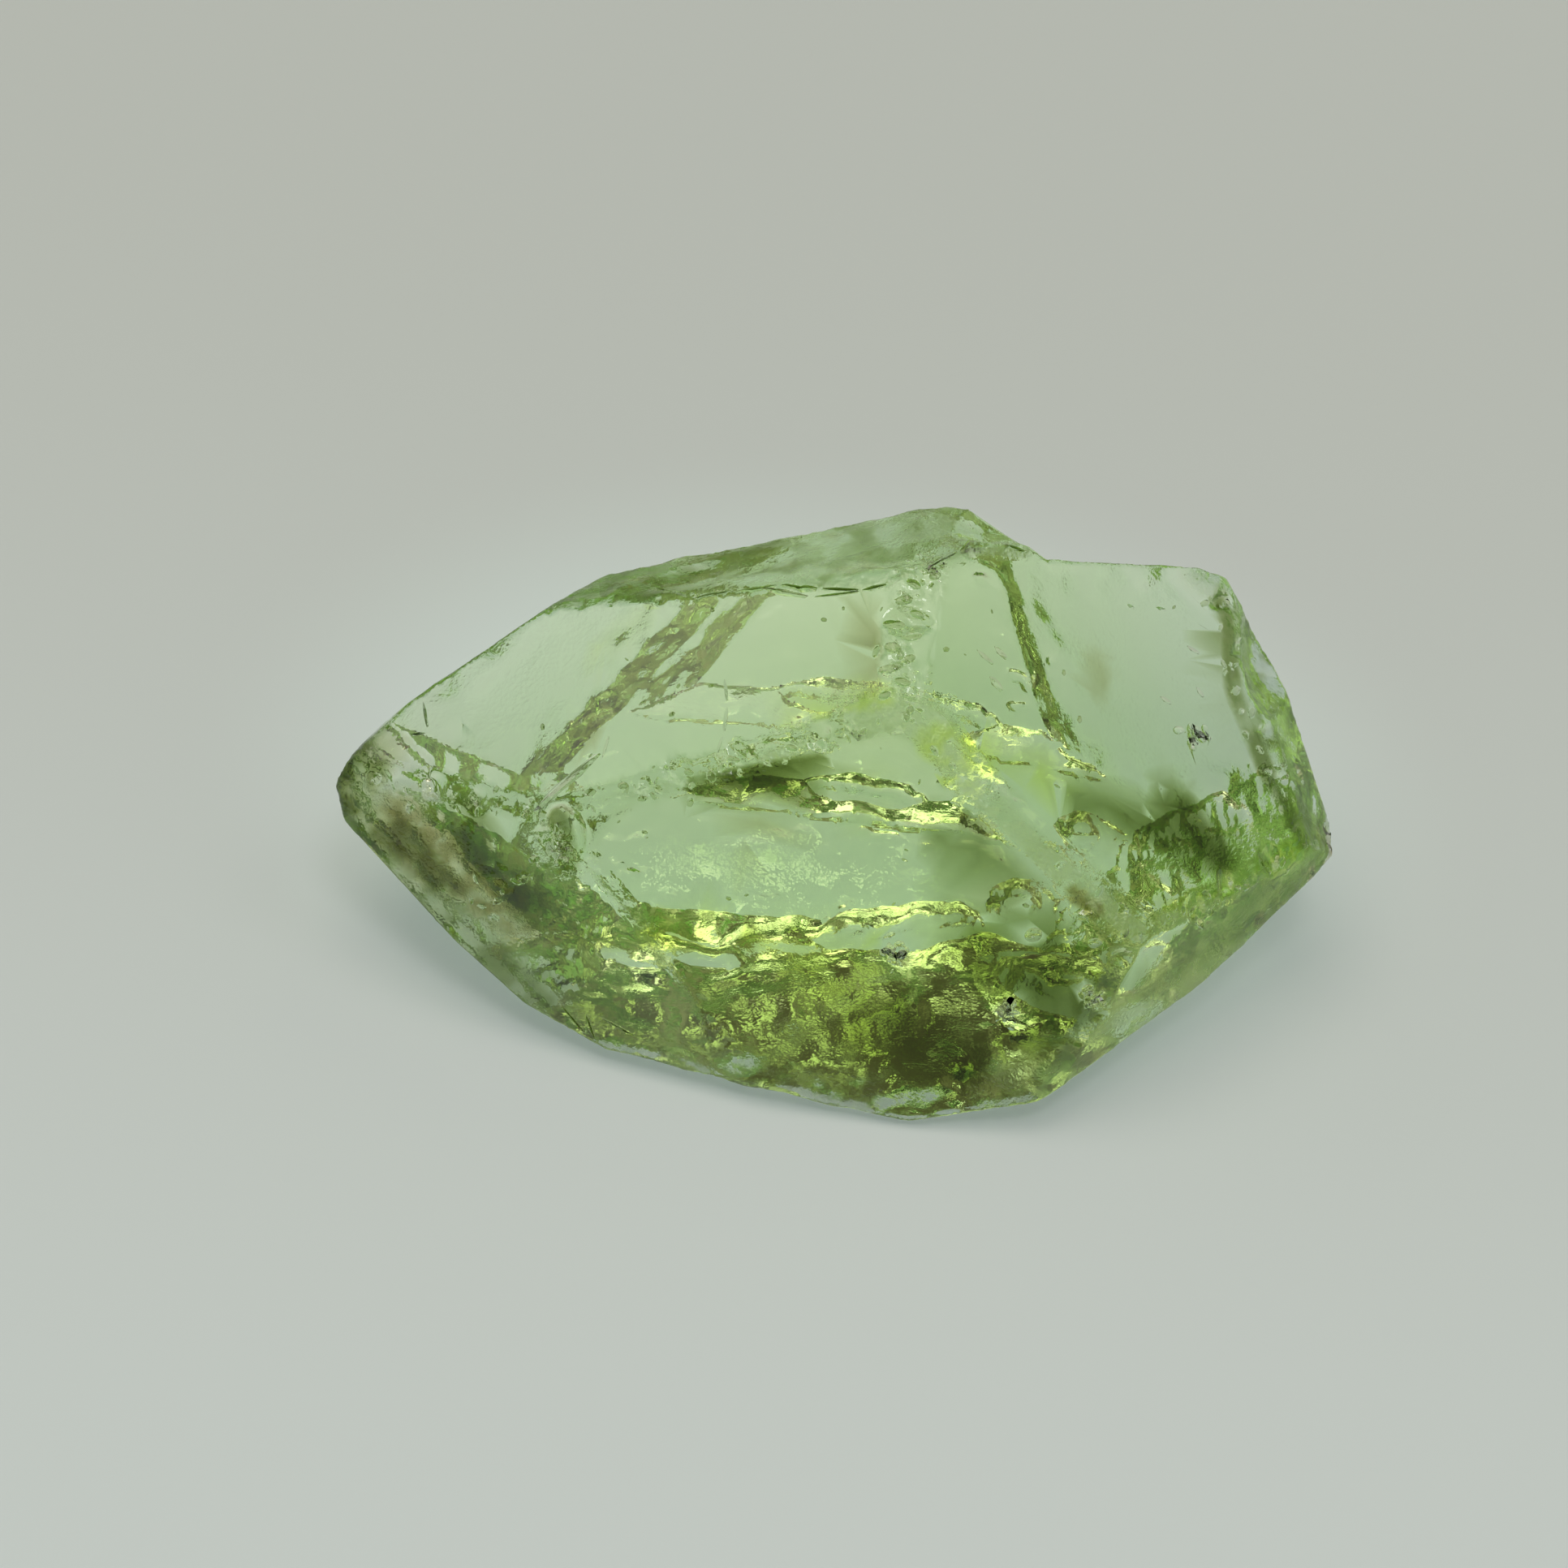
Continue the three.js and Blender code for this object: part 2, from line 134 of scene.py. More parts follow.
class StoneSettings(bpy.types.PropertyGroup):
    """How the stone is worn and how it takes the light."""

    grain: bpy.props.FloatProperty(
        name="Mesh grain",
        description="Size of the mesh cells that the stone is remade with",
        default=0.036 * MM,
        min=0.02 * MM,
        max=0.5 * MM,
        precision=6,
        subtype="DISTANCE",
        unit="LENGTH",
    )
    triangles: bpy.props.IntProperty(
        name="Triangles",
        description="How many triangles the finished stone may have",
        default=162000,
        min=10000,
        max=195000,
    )
    edge_wear: bpy.props.FloatProperty(
        name="Edge wear",
        description="How far the frosting runs from any edge onto the flats",
        default=0.09 * MM,
        min=0.0,
        max=2 * MM,
        precision=6,
        subtype="DISTANCE",
        unit="LENGTH",
    )
    rounding: bpy.props.FloatProperty(
        name="Rounding",
        description="How far from an edge its rounding starts",
        default=0.3 * MM,
        min=0.0,
        max=2 * MM,
        precision=6,
        subtype="DISTANCE",
        unit="LENGTH",
    )
    back_waves: bpy.props.FloatProperty(
        name="Waves at the back",
        description="Depth of the soft waves along the unpolished edges at the back",
        default=0.16 * MM,
        min=0.0,
        max=1 * MM,
        precision=6,
        subtype="DISTANCE",
        unit="LENGTH",
    )
    back_flakes: bpy.props.FloatProperty(
        name="Flakes at the back",
        description="Depth of the flakes along the unpolished edges at the back",
        default=0.055 * MM,
        min=0.0,
        max=1 * MM,
        precision=6,
        subtype="DISTANCE",
        unit="LENGTH",
    )
    crumb_depth: bpy.props.FloatProperty(
        name="Crumb depth",
        description="Depth of the fine crumbs along the worn ridges",
        default=0.06 * MM,
        min=0.0,
        max=0.5 * MM,
        precision=6,
        subtype="DISTANCE",
        unit="LENGTH",
    )
    flake_depth: bpy.props.FloatProperty(
        name="Flake depth",
        description="Depth of the shell-shaped flakes on the broken faces",
        default=0.05 * MM,
        min=0.0,
        max=0.5 * MM,
        precision=6,
        subtype="DISTANCE",
        unit="LENGTH",
    )
    refraction: bpy.props.FloatProperty(
        name="Refractive index",
        description="Refractive index of tourmaline, between its two rays",
        default=1.63,
        min=1.0,
        max=3.0,
        subtype="FACTOR",
    )
    absorption: bpy.props.FloatVectorProperty(
        name="Absorption",
        description="Share of red, green and blue light taken per metre of path",
        default=(44.0, 4.0, 118.0),
        min=0.0,
        size=3,
    )
    rust: bpy.props.FloatVectorProperty(
        name="Rust",
        description="Colour of the rusty stains in cracks and pits",
        default=(0.52, 0.46, 0.24, 1.0),
        min=0.0,
        max=1.0,
        size=4,
        subtype="COLOR",
    )
    # Painted light: the colour of bright green bands that stand in for light run a long way inside the
    # stone.
    painted_light: bpy.props.FloatVectorProperty(
        name="Lime",
        description="Colour of the bright bands where the light has gone a long way inside",
        default=(0.95, 1.0, 0.42, 1.0),
        min=0.0,
        max=1.0,
        size=4,
        subtype="COLOR",
    )
    # The deep green film: partly stain, partly painted shade that stands in for dark inner reflections.
    moss: bpy.props.FloatVectorProperty(
        name="Moss",
        description="Colour of the deep green, rough places that hold the light back",
        default=(0.35, 0.41, 0.18, 1.0),
        min=0.0,
        max=1.0,
        size=4,
        subtype="COLOR",
    )


class StageSettings(bpy.types.PropertyGroup):
    """The floor, the lights and the camera."""

    floor_colour: bpy.props.FloatVectorProperty(
        name="Floor colour",
        description="Colour of the pale floor",
        default=(0.6, 0.64, 0.638, 1.0),
        min=0.0,
        max=1.0,
        size=4,
        subtype="COLOR",
    )
    floor_glow: bpy.props.FloatVectorProperty(
        name="Floor glow",
        description="Light that comes up through the floor, as on a light table",
        default=(0.122, 0.156, 0.17),
        min=0.0,
        size=3,
        subtype="COLOR",
    )
    # Painted light: a brighter pool in the floor's glow under the stone, which fills the stone's shadow.
    painted_light_pool: bpy.props.FloatVectorProperty(
        name="Glow under the stone",
        description="The same right under the stone, with the light that the stone gathers there",
        default=(0.225, 0.32, 0.31),
        min=0.0,
        size=3,
        subtype="COLOR",
    )
    floor_width: bpy.props.FloatProperty(
        name="Floor width",
        description="Width of the floor",
        default=1.2,
        min=0.1,
        subtype="DISTANCE",
        unit="LENGTH",
    )
    sky: bpy.props.FloatVectorProperty(
        name="Sky",
        description="Colour and strength of the even light from all round",
        default=(0.25, 0.215, 0.16),
        min=0.0,
        size=3,
        subtype="COLOR",
    )
    camera_distance: bpy.props.FloatProperty(
        name="Camera distance",
        description="From the camera to the middle of the stone",
        default=0.13,
        min=0.02,
        subtype="DISTANCE",
        unit="LENGTH",
    )


# Small helpers for modelling


def only(piece):
    """Selects this object alone and makes it the active one."""
    bpy.ops.object.select_all(action="DESELECT")
    piece.select_set(True)
    bpy.context.view_layer.objects.active = piece


def apply(piece, modifier):
    """Applies a modifier to its object."""
    only(piece)
    bpy.ops.object.modifier_apply(modifier=modifier.name)


def copy_of_node(name, called, scale=1.0):
    """A copy of a CAD node's mesh with its loose triangles merged."""
    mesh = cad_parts[name].data.copy()
    mesh.materials.clear()
    mesh.transform(Matrix.Scale(scale, 4))
    piece = bpy.data.objects.new(called, mesh)
    bpy.context.scene.collection.objects.link(piece)
    only(piece)
    bpy.ops.object.mode_set(mode="EDIT")
    bpy.ops.mesh.select_all(action="SELECT")
    bpy.ops.mesh.remove_doubles(threshold=1e-6 * scale)
    bpy.ops.object.mode_set(mode="OBJECT")
    return piece


def sharp_lines(piece, called, angle):
    """A new object that holds only the ridges of a piece, as bare edges."""
    only(piece)
    bpy.ops.object.duplicate()
    lines = bpy.context.active_object
    lines.name = called
    bpy.ops.object.mode_set(mode="EDIT")
    bpy.ops.mesh.select_mode(type="EDGE")
    bpy.ops.mesh.select_all(action="DESELECT")
    bpy.ops.mesh.edges_select_sharp(sharpness=angle)
    bpy.ops.mesh.select_all(action="INVERT")
    bpy.ops.mesh.delete(type="EDGE_FACE")
    bpy.ops.object.mode_set(mode="OBJECT")
    return lines


def positions(piece):
    """Every vertex of a piece, as an array."""
    places = np.zeros(len(piece.data.vertices) * 3, np.float32)
    piece.data.vertices.foreach_get("co", places)
    return places.reshape(-1, 3)


def facings(piece):
    """Every vertex normal of a piece, as an array."""
    normals = np.zeros(len(piece.data.vertices) * 3, np.float32)
    piece.data.vertices.foreach_get("normal", normals)
    return normals.reshape(-1, 3)


def ease(values, low, high):
    """A smooth rise from 0 at low to 1 at high."""
    t = np.clip((values - low) / (high - low), 0, 1)
    return t * t * (3 - 2 * t)


def keep_mask(piece, name, weights):
    """Stores weights as a vertex group, for modifiers to read."""
    group = piece.vertex_groups.get(name) or piece.vertex_groups.new(name=name)
    steps = 32
    rounded = np.round(np.clip(weights, 0, 1) * steps).astype(int)
    for step in range(steps + 1):
        members = np.nonzero(rounded == step)[0].tolist()
        if members:
            group.add(members, step / steps, "REPLACE")


def keep_attribute(piece, name, values):
    """Stores a number for each vertex, for the material to read."""
    attribute = piece.data.attributes.new(name, "FLOAT", "POINT")
    attribute.data.foreach_set("value", values.astype(np.float32))


def nearness(piece, lines, reach):
    """How near each vertex lies to the given lines: 1 on them, 0 at reach."""
    group = piece.vertex_groups.new(name="nearness")
    group.add(range(len(piece.data.vertices)), 1.0, "REPLACE")
    proximity = piece.modifiers.new("nearness", "VERTEX_WEIGHT_PROXIMITY")
    proximity.vertex_group = group.name
    proximity.target = lines
    proximity.proximity_mode = "GEOMETRY"
    proximity.proximity_geometry = {"EDGE"}
    proximity.min_dist = reach
    proximity.max_dist = 0.0
    proximity.falloff_type = "SMOOTH"
    apply(piece, proximity)
    weights = np.zeros(len(piece.data.vertices), np.float32)
    index = piece.vertex_groups["nearness"].index
    for vertex in piece.data.vertices:
        for membership in vertex.groups:
            if membership.group == index:
                weights[vertex.index] = membership.weight
    piece.vertex_groups.remove(piece.vertex_groups["nearness"])
    return weights


def roughen(piece, name, texture, depth, mask, middle=0.5, stretch=(1, 1, 1)):
    """Pushes the surface in and out by a texture, where the mask allows it."""
    bpy.ops.object.empty_add()
    guide = bpy.context.active_object
    guide.scale = stretch
    bpy.context.view_layer.update()
    displace = piece.modifiers.new(name, "DISPLACE")
    displace.texture = texture
    displace.texture_coords = "OBJECT"
    displace.texture_coords_object = guide
    displace.strength = depth
    displace.mid_level = middle
    displace.vertex_group = mask
    apply(piece, displace)
    bpy.data.objects.remove(guide)


def soften(piece, name, mask, rounds):
    """Rounds the surface off where the mask allows it."""
    smooth = piece.modifiers.new(name, "SMOOTH")
    smooth.vertex_group = mask
    smooth.factor = 0.6
    smooth.iterations = rounds
    apply(piece, smooth)


def clouds(name, size, detail=2, hard=False):
    """A cloudy texture with features of the given size."""
    texture = bpy.data.textures.new(name, "CLOUDS")
    texture.noise_scale = size
    texture.noise_depth = detail
    texture.noise_type = "HARD_NOISE" if hard else "SOFT_NOISE"
    return texture


def shells(name, size):
    """A texture of rounded hollows that meet in sharp lips."""
    texture = bpy.data.textures.new(name, "VORONOI")
    texture.noise_scale = size
    texture.distance_metric = "DISTANCE_SQUARED"
    texture.weight_1 = 1.0
    texture.noise_intensity = 1.0
    return texture


def shard(start, end, width, depth, roundness=1, **looks):
    """A long shard that lies in the surface from one point to another.

    It is flat-sided, or a smooth pebble with more roundness, and carries the
    looks that the faces cut by it are to have.
    """
    (first, normal), (last, _) = start, end
    along = (last - first).normalized()
    across = normal.cross(along).normalized()
    upright = along.cross(across)
    bpy.ops.mesh.primitive_ico_sphere_add(subdivisions=roundness, radius=0.5)
    piece = bpy.context.active_object
    size = Matrix.Diagonal(((last - first).length, width, depth * 2, 1))
    turn = Matrix((along, across, upright)).transposed().to_4x4()
    piece.data.transform(Matrix.Translation((first + last) / 2) @ turn @ size)
    count = len(piece.data.vertices)
    # The faces it cuts get wear, the deep green film of stain and painted shade, rust, and the bright
    # green film of painted light.
    for name in ("wear", "moss", "rust", "painted_light"):
        keep_attribute(piece, name, np.full(count, looks.get(name, 0.0)))
    return piece


def near_path(places, points, reach):
    """How near each place lies to a line of points: 1 on it, 0 at reach."""
    nearest = np.full(len(places), np.inf)
    for start, end in zip(points, points[1:]):
        along = np.array(end - start)
        share = np.clip((places - np.array(start)) @ along / (along @ along), 0, 1)
        gap = places - np.array(start) - share[:, None] * along
        nearest = np.minimum(nearest, np.linalg.norm(gap, axis=1))
    return 1 - ease(nearest, reach * 0.3, reach)


def uneven(points, size, seed, low, high):
    """A cloudy number at each point: 0 where the cloud is thin, 1 where it is thick."""
    shift = Vector((seed * 7.3, seed * 3.1, seed * 5.7))
    thickness = [noise.fractal(point / size + shift, 1.0, 2.0, 3) for point in points]
    return ease(np.array(thickness) * 0.5 + 0.5, low, high)


# The stone

SHARP = math.radians(7)
FLAKES_START = (-4, -3)  # mm along the stone; the stepped tip has none
BROW_FACING = Vector((-0.17, 0.91, 0.38))  # the broken band along the top, in the photograph's axes
FLANK_FACING = Vector((0.82, 0.32, 0.47))  # the broken right end
BROW_SPREAD, FLANK_SPREAD = (34, 20), (30, 16)  # degrees away where each starts and is whole
UNDERSIDE = (0.75, 0.97)  # how far a face looks down where the underside starts and is whole
BACK = (0.0, 0.3)  # the same for the back, seen from the camera
SMOOTH_ANGLE = math.radians(38)
ROUNDING_STEPS = 8

# How strongly each kind of place is frosted, crumbly, darkened to deep green or rusty.
EDGE_FROST, BROW_FROST, FLANK_FROST, UNDER_FROST, BACK_FROST = 0.5, 0.75, 0.4, 0.3, 0.3
EDGE_CRUMBS, FLANK_FLAKES = 0.3, 0.7
BROKEN_DARKENING, RIDGE_DARKENING, BROW_RUST = 0.45, 0.12, 0.2
LEAST_FROST, FROST_SPREAD = 0.35, 0.65
LEAST_STAIN, STAIN_SPREAD = 0.8, 1.5

# Clouds that make the worn and stained places, the painted shade and the painted light uneven:
# the size of each in mm, its number, and how thick it is where it starts and where it is full.
CLOUDS = {
    "wear": (0.7, 0, 0.3, 0.6),
    "brow moss": (0.5, 2, 0.4, 0.7),
    "flank moss": (0.4, 3, 0.45, 0.7),
    "brow rust": (0.6, 4, 0.6, 0.8),
    "frost": (0.45, 5, 0.25, 0.65),
    "moss": (0.5, 6, 0.25, 0.65),
    "rust": (0.2, 7, 0.25, 0.65),
    "painted_light": (0.3, 8, 0.2, 0.7),
}

# Textures that roughen the surface, with the size of their features, in mm.
BACK_WAVES, BACK_FLAKES = 0.7, 0.35
BACK_REACH = 5  # how many times their depth the waves reach from an edge
POLISH, POLISH_DEPTH = 3.0, 0.02
FLAKES, GRAIN, CRUMBS = 0.8, 0.2, 0.1
GRAIN_SHARE = 0.4  # of the crumbs' depth
HOLLOWS, HOLLOW_DEPTH, HOLLOW_STRETCH = 0.75, 0.16, (1, 1.7, 1)
DENTS, DENT_DEPTH, DENT_STRETCH = 0.28, 0.03, (1, 1.3, 1)

# The worn ridges, as the photograph shows them: pixels along each, how far it
# is worn to either side in mm, how strongly it is frosted, and how crumbly it is.
RIDGES = {
    "left": ([(430, 960), (560, 985), (690, 1000), (840, 965), (1000, 920), (1110, 875)], 0.17, 0.7, 1.0),
    "middle": ([(1118, 865), (1100, 800), (1115, 750), (1140, 705)], 0.32, 0.6, 1.0),
    "glitter": ([(1128, 708), (1150, 692)], 0.22, 0.3, 1.6),
    "hub": ([(1060, 890), (1110, 875), (1150, 905)], 0.45, 0.9, 0.15),
    "right": ([(1110, 875), (1200, 975), (1300, 1070), (1400, 1150)], 0.26, 1.0, 0.15),
    "brow": ([(1000, 722), (1090, 722), (1140, 702), (1180, 682), (1262, 682)], 0.14, 0.9, 0.4),
    "tip": ([(420, 925), (416, 965), (440, 1010)], 0.5, 0.9, 0.6),
    "left cheek": ([(690, 1040), (640, 1085), (600, 1120)], 0.08, 0.8, 1.2),
    "belly": ([(720, 1060), (795, 1145), (860, 1235), (880, 1310)], 0.06, 0.7, 0.5),
    "knee": ([(1430, 1130), (1500, 1110), (1560, 1075), (1615, 1040)], 0.18, 0.7, 0.8),
    "corner": ([(1600, 1000), (1640, 1050), (1590, 1105)], 0.4, 0.7, 0.3),
    "flank": ([(1500, 712), (1520, 790), (1520, 850), (1560, 950), (1610, 1045)], 0.16, 0.6, 0.8),
    "ledge": ([(1475, 712), (1515, 735)], 0.3, 0.8, 0.2),
    "pit": ([(680, 1020), (700, 1060)], 0.42, 0.6, 1.2),
    "low right rim": ([(1250, 1345), (1400, 1255), (1520, 1170), (1610, 1090)], 0.9, 0.8, 0.1),
    "cheek": ([(480, 1020), (560, 1110), (620, 1170)], 0.9, 0.7, 0.1),
    "low rim": ([(640, 1225), (760, 1290), (880, 1315), (1060, 1350)], 0.5, 0.7, 0.15),
}


# Painted shade, as deep green places that stand in for dark inner reflections; rusty
# places; and painted light, as bright green bands. Each: pixels along it, its reach to either side in mm,
# and how strong it is.
PAINTED_SHADE = {
    "tip": ([(425, 925), (416, 965), (440, 1010)], 0.65, 1.5),
    "pit": ([(690, 1005), (704, 1062)], 0.2, 1.0),
    "left cheek": ([(575, 1010), (640, 1095)], 0.45, 1.0),
    "cheek": ([(470, 1010), (540, 1100)], 0.5, 1.1),
    "under the cheek": ([(640, 1115), (700, 1150)], 0.35, 0.5),
    "dark bar": ([(1315, 985), (1400, 1006), (1500, 1055)], 0.36, 1.4),
    "dark bar end": ([(1440, 985), (1500, 1050)], 0.34, 1.9),
    "by the right ridge": ([(1190, 1030), (1270, 1110)], 0.4, 0.8),
    "right low": ([(1420, 1200), (1560, 1110)], 0.7, 0.5),
    "first streak": ([(1148, 985), (1160, 1060), (1178, 1130)], 0.1, 1.2),
    "second streak": ([(1185, 1005), (1205, 1070)], 0.14, 0.8),
    "low right": ([(1230, 1180), (1330, 1195), (1280, 1255)], 0.8, 1.4),
    "low dark": ([(1100, 1260), (1180, 1300)], 0.6, 1.1),
    "under the hub": ([(860, 970), (930, 956), (1005, 942)], 0.2, 1.6),
    "flank line": ([(1508, 730), (1522, 850), (1562, 950), (1608, 1035)], 0.2, 0.9),
    "left of the middle": ([(1050, 735), (1064, 790), (1058, 850)], 0.2, 0.6),
    "low left edge": ([(475, 1065), (560, 1150), (660, 1240)], 0.55, 0.9),
    "low left": ([(690, 1200), (760, 1260)], 0.5, 0.5),
}
RUST = {
    "by the middle ridge": ([(1068, 745), (1078, 800), (1072, 850)], 0.14, 0.4),
    "right window": ([(1345, 810), (1352, 850)], 0.2, 0.35),
    "drip": ([(938, 1000), (934, 1060)], 0.08, 0.8),
    "dish left": ([(1215, 1095), (1235, 1105)], 0.2, 1.0),
    "dish right": ([(1320, 1100), (1345, 1120)], 0.16, 1.0),
    "left window": ([(722, 925), (738, 905)], 0.08, 0.8),
    "cheek": ([(560, 1010), (610, 1080)], 0.1, 0.9),
    "left cheek": ([(500, 1020), (640, 1120)], 0.6, 0.9),
    "corner": ([(1600, 1000), (1640, 1050), (1590, 1105)], 0.45, 0.25),
}
# Painted light: bright green bands that stand in for light run a long way inside.
PAINTED_LIGHT = {
    "belt": ([(720, 1150), (900, 1150), (1060, 1165), (1190, 1160)], 0.32, 2.0),
    "below the belt": ([(1010, 1200), (1070, 1280)], 0.5, 1.6),
    "left of the hub": ([(960, 880), (1080, 858)], 0.3, 1.6),
    "right of the hub": ([(1150, 915), (1300, 955)], 0.35, 1.8),
    "under the hub": ([(1062, 950), (1076, 1010)], 0.16, 1.5),
    "bar line": ([(1150, 962), (1390, 972)], 0.1, 1.5),
    "diagonal": ([(745, 800), (800, 755)], 0.16, 1.6),
    "knee": ([(1440, 1120), (1510, 1105), (1600, 1045)], 0.3, 1.4),
}

# How strongly the faces of each kind of cut are worn or darkened to deep green.
MARK_WEAR, CRACK_DARKENING, CHIP_DARKENING, SPECK_DARKENING, PIT_DARKENING = 0.6, 3.5, 0.5, 1.0, 0.5

# Scratches and chips in the flats: pixels from end to end, width and depth in mm.
MARKS = [
    ([(656, 1005), (750, 922)], 0.13, 0.16),
    ([(744, 935), (753, 905)], 0.04, 0.08),
    ([(893, 836), (897, 868)], 0.05, 0.1),
    ([(897, 870), (892, 905)], 0.06, 0.1),
    ([(891, 907), (884, 930)], 0.04, 0.08),
    ([(522, 862), (529, 900)], 0.05, 0.07),
    ([(527, 903), (506, 906)], 0.04, 0.06),
    ([(1200, 801), (1224, 822)], 0.07, 0.06),
    ([(1222, 797), (1240, 815)], 0.09, 0.07),
    ([(1216, 834), (1234, 854)], 0.12, 0.07),
    ([(1462, 795), (1480, 806)], 0.06, 0.05),
    ([(1474, 846), (1484, 860)], 0.07, 0.05),
    ([(1388, 745), (1398, 750)], 0.05, 0.04),
    ([(1424, 748), (1438, 752)], 0.05, 0.05),
    ([(1428, 858), (1444, 868)], 0.07, 0.05),
    ([(1472, 1128), (1480, 1146)], 0.09, 0.12),
]
# Cracks whose walls are darkened to deep green, laid out in the same way.
CRACKS = [
    ([(690, 1236), (717, 1282)], 0.035, 0.1),
    ([(722, 1248), (734, 1284)], 0.03, 0.1),
    ([(738, 1252), (788, 1279)], 0.035, 0.1),
    ([(795, 716), (852, 738)], 0.035, 0.1),
    ([(850, 738), (908, 728)], 0.05, 0.14),
    ([(904, 729), (962, 721)], 0.055, 0.16),
    ([(958, 721), (1012, 727)], 0.06, 0.16),
    ([(930, 724), (1002, 738)], 0.04, 0.12),
    ([(998, 738), (1064, 730)], 0.04, 0.12),
    ([(1008, 727), (1062, 729)], 0.055, 0.16),
    ([(1058, 730), (1094, 721)], 0.055, 0.16),
    ([(1138, 704), (1182, 680)], 0.04, 0.12),
    ([(1178, 681), (1218, 667)], 0.055, 0.16),
    ([(1214, 667), (1242, 673)], 0.06, 0.16),
    ([(1238, 672), (1264, 682)], 0.055, 0.16),
]
# How many chips lie along the worn ridges, how long they are in mm, and how
# many pixels they stray from the line.
CHIPS = {
    "left": 60,
    "middle": 20,
    "glitter": 14,
    "right": 10,
    "left cheek": 14,
    "knee": 16,
    "flank": 22,
    "pit": 12,
}
CHIP_LENGTH = (0.06, 0.2)
CHIP_STRAY = 7
# Clusters of tiny chips that glitter.
GLITTER = [(1140, 700), (1345, 1225), (1240, 1245), (1100, 1172), (1475, 905)]
GLITTER_CHIPS = 22
GLITTER_LENGTH = (0.07, 0.18)

# Smooth pits: middle, length, width and depth of each in mm, and how far its
# length is turned from the photograph's right, in degrees. The gains are for half
# of its length, for its width and for its depth.
PIT_GAINS = (0.6, 1.2, 1.6)
PITS = [
    ((1112, 742), 0.2, 0.11, 0.06, 10),
    ((1128, 760), 0.16, 0.09, 0.05, -20),
    ((1100, 772), 0.26, 0.12, 0.07, 5),
    ((1122, 786), 0.22, 0.1, 0.06, 15),
    ((1098, 800), 0.2, 0.12, 0.06, -10),
    ((1118, 814), 0.16, 0.09, 0.05, 30),
    ((1092, 826), 0.24, 0.1, 0.06, 8),
    ((1110, 842), 0.18, 0.09, 0.05, -15),
    ((1088, 858), 0.14, 0.08, 0.05, 20),
    ((1124, 722), 0.18, 0.1, 0.06, -35),
    ((1150, 712), 0.14, 0.09, 0.06, 20),
    ((1345, 1160), 0.16, 0.12, 0.05, 0),
    ((1270, 1150), 0.2, 0.16, 0.06, 20),
    ((905, 936), 0.14, 0.07, 0.04, -12),
    ((850, 952), 0.12, 0.07, 0.04, -12),
    ((975, 922), 0.14, 0.07, 0.04, -16),
    ((770, 968), 0.12, 0.08, 0.04, 0),
]
SPECKS = 60
SPECK_LENGTH = (0.04, 0.12)
SPECK_FIELD = (560, 740, 1500, 1160)


def from_view(direction):
    """Turns a direction in the photograph's axes into the row frame."""
    right, up, back = view_axes()
    return (right * direction[0] + up * direction[1] + back * direction[2]).normalized()


def mask_facing(normals, direction, loose, tight):
    """1 where the surface faces a direction, falling to 0 as it turns away."""
    along = normals @ np.array(from_view(direction))
    return ease(along, math.cos(math.radians(loose)), math.cos(math.radians(tight)))


